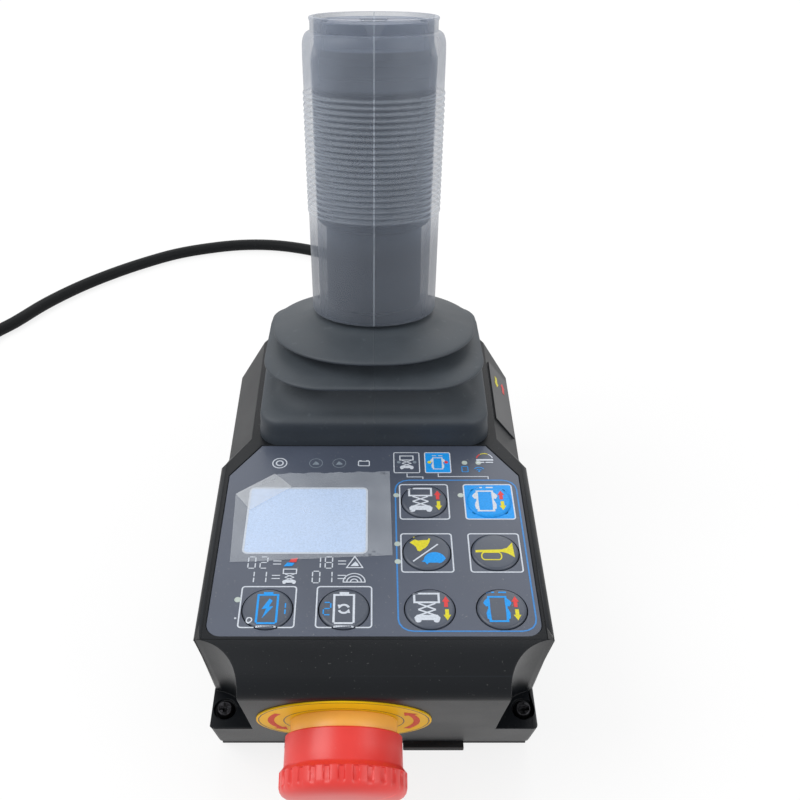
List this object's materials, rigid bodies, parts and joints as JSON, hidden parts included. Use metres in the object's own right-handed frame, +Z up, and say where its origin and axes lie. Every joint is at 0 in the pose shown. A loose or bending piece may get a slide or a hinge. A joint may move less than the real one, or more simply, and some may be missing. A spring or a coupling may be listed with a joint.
{
  "type": "scissor lift control box",
  "caption": "Hand-held control box with a joystick, round keys, a display and an emergency stop on its undercut front face.",
  "frame": {"origin": "underside of the base plate, in the middle of its width, 100 mm behind the panel's front edge", "axes": "+X to the operator's right, +Y away from the operator, +Z up out of the panel"},
  "size_m": [0.391, 0.4134, 0.2273],
  "materials": {
    "housing": "black satin ABS",
    "overlay": "dark grey printed film",
    "keys": "dark grey embossed film",
    "glazing": "clear window",
    "film": "thin clear protective film",
    "lens": "milky lens",
    "label": "printed vinyl",
    "board": "green lacquered circuit board",
    "electric": "black moulded nylon",
    "plate": "black powder coat",
    "screw": "zinc plated",
    "steel": "bright turned steel",
    "yellow": "yellow moulded plastic",
    "red": "red moulded plastic",
    "rubber": "dark blue-grey rubber",
    "brass": "turned",
    "core": "dark moulded plastic",
    "sleeve": "cloudy clear plastic",
    "cap": "blue-grey clear plastic",
    "rocker": "dark blue moulded plastic",
    "cord": "black cord sheath"
  },
  "bodies": {
    "console": {"base_plate": "plate", "base_gasket": "rubber", "upper_housing": "housing", "corner_screws": "screw", "panel_overlay": "overlay", "display_window": "glazing", "display_module": "electric", "screen_film": "film", "indicator_lenses": "lens", "shoulder_label": "label", "circuit_board": "board", "board_screws": "screw", "key_switches": "electric", "stop_label": "yellow", "stop_collar": "yellow", "stop_barrel": "electric", "stop_nut": "electric", "stop_contacts": "electric", "rubber_boot": "rubber", "boot_frame": "electric", "frame_screws": "screw", "joystick_base": "electric", "pivot_bushes": "brass", "centring_springs": "steel", "angle_sensor": "electric", "cable_gland": "electric", "gland_nut": "electric", "strain_relief": "cord", "cord_run": "cord", "cord_coil": "cord", "cord_tail": "cord", "connector_body": "electric", "connector_ring": "steel", "connector_pins": "brass"},
    "joystick_arm": {"pivot_shaft": "steel", "lever": "steel", "grip_core": "core", "grip_sleeve": "sleeve", "grip_cap": "cap", "rocker_pin": "steel"},
    "rocker": {"thumb_rocker": "rocker"},
    "stop_plunger": {"stop_stem": "red"},
    "stop_cap": {"stop_head": "red"},
    "lift_key_cap": {"lift_key": "keys"},
    "drive_key_cap": {"drive_key": "keys"},
    "speed_key_cap": {"speed_key": "keys"},
    "horn_key_cap": {"horn_key": "keys"},
    "lift_mode_key_cap": {"lift_mode_key": "keys"},
    "drive_mode_key_cap": {"drive_mode_key": "keys"},
    "battery_save_key_cap": {"battery_save_key": "keys"},
    "battery_cycle_key_cap": {"battery_cycle_key": "keys"}
  },
  "joints": [
    {"name": "joystick_tilt", "type": "hinge", "parent": "console", "child": "joystick_arm", "pos_m": [0, 0.032, 0.074], "axis": [1, 0, 0], "range_deg": [-15, 15], "stiffness_Nm_per_rad": 4, "deforming": ["rubber_boot"]},
    {"name": "rocker_tilt", "type": "hinge", "parent": "joystick_arm", "child": "rocker", "pos_m": [0, 0.0673, 0.20575], "axis": [0, 0.9659, -0.2588], "range_deg": [-8, 8], "stiffness_Nm_per_rad": 0.2},
    {"name": "stop_push", "type": "slide", "parent": "console", "child": "stop_plunger", "axis": [0, 0.9239, 0.3827], "range_m": [0, 0.0045]},
    {"name": "stop_twist", "type": "hinge", "parent": "stop_plunger", "child": "stop_cap", "pos_m": [-0.0103, -0.10442, 0.042], "axis": [0, -0.9239, -0.3827], "range_deg": [0, 45], "stiffness_Nm_per_rad": 0.05},
    {"name": "lift_key_press", "type": "slide", "parent": "console", "child": "lift_key_cap", "axis": [0, 0, -1], "range_m": [0, 0.0005], "stiffness_N_per_m": 150, "springref_m": -0.002},
    {"name": "drive_key_press", "type": "slide", "parent": "console", "child": "drive_key_cap", "axis": [0, 0, -1], "range_m": [0, 0.0005], "stiffness_N_per_m": 150, "springref_m": -0.002},
    {"name": "speed_key_press", "type": "slide", "parent": "console", "child": "speed_key_cap", "axis": [0, 0, -1], "range_m": [0, 0.0005], "stiffness_N_per_m": 150, "springref_m": -0.002},
    {"name": "horn_key_press", "type": "slide", "parent": "console", "child": "horn_key_cap", "axis": [0, 0, -1], "range_m": [0, 0.0005], "stiffness_N_per_m": 150, "springref_m": -0.002},
    {"name": "lift_mode_key_press", "type": "slide", "parent": "console", "child": "lift_mode_key_cap", "axis": [0, 0, -1], "range_m": [0, 0.0005], "stiffness_N_per_m": 150, "springref_m": -0.002},
    {"name": "drive_mode_key_press", "type": "slide", "parent": "console", "child": "drive_mode_key_cap", "axis": [0, 0, -1], "range_m": [0, 0.0005], "stiffness_N_per_m": 150, "springref_m": -0.002},
    {"name": "battery_save_key_press", "type": "slide", "parent": "console", "child": "battery_save_key_cap", "axis": [0, 0, -1], "range_m": [0, 0.0005], "stiffness_N_per_m": 150, "springref_m": -0.002},
    {"name": "battery_cycle_key_press", "type": "slide", "parent": "console", "child": "battery_cycle_key_cap", "axis": [0, 0, -1], "range_m": [0, 0.0005], "stiffness_N_per_m": 150, "springref_m": -0.002}
  ]
}
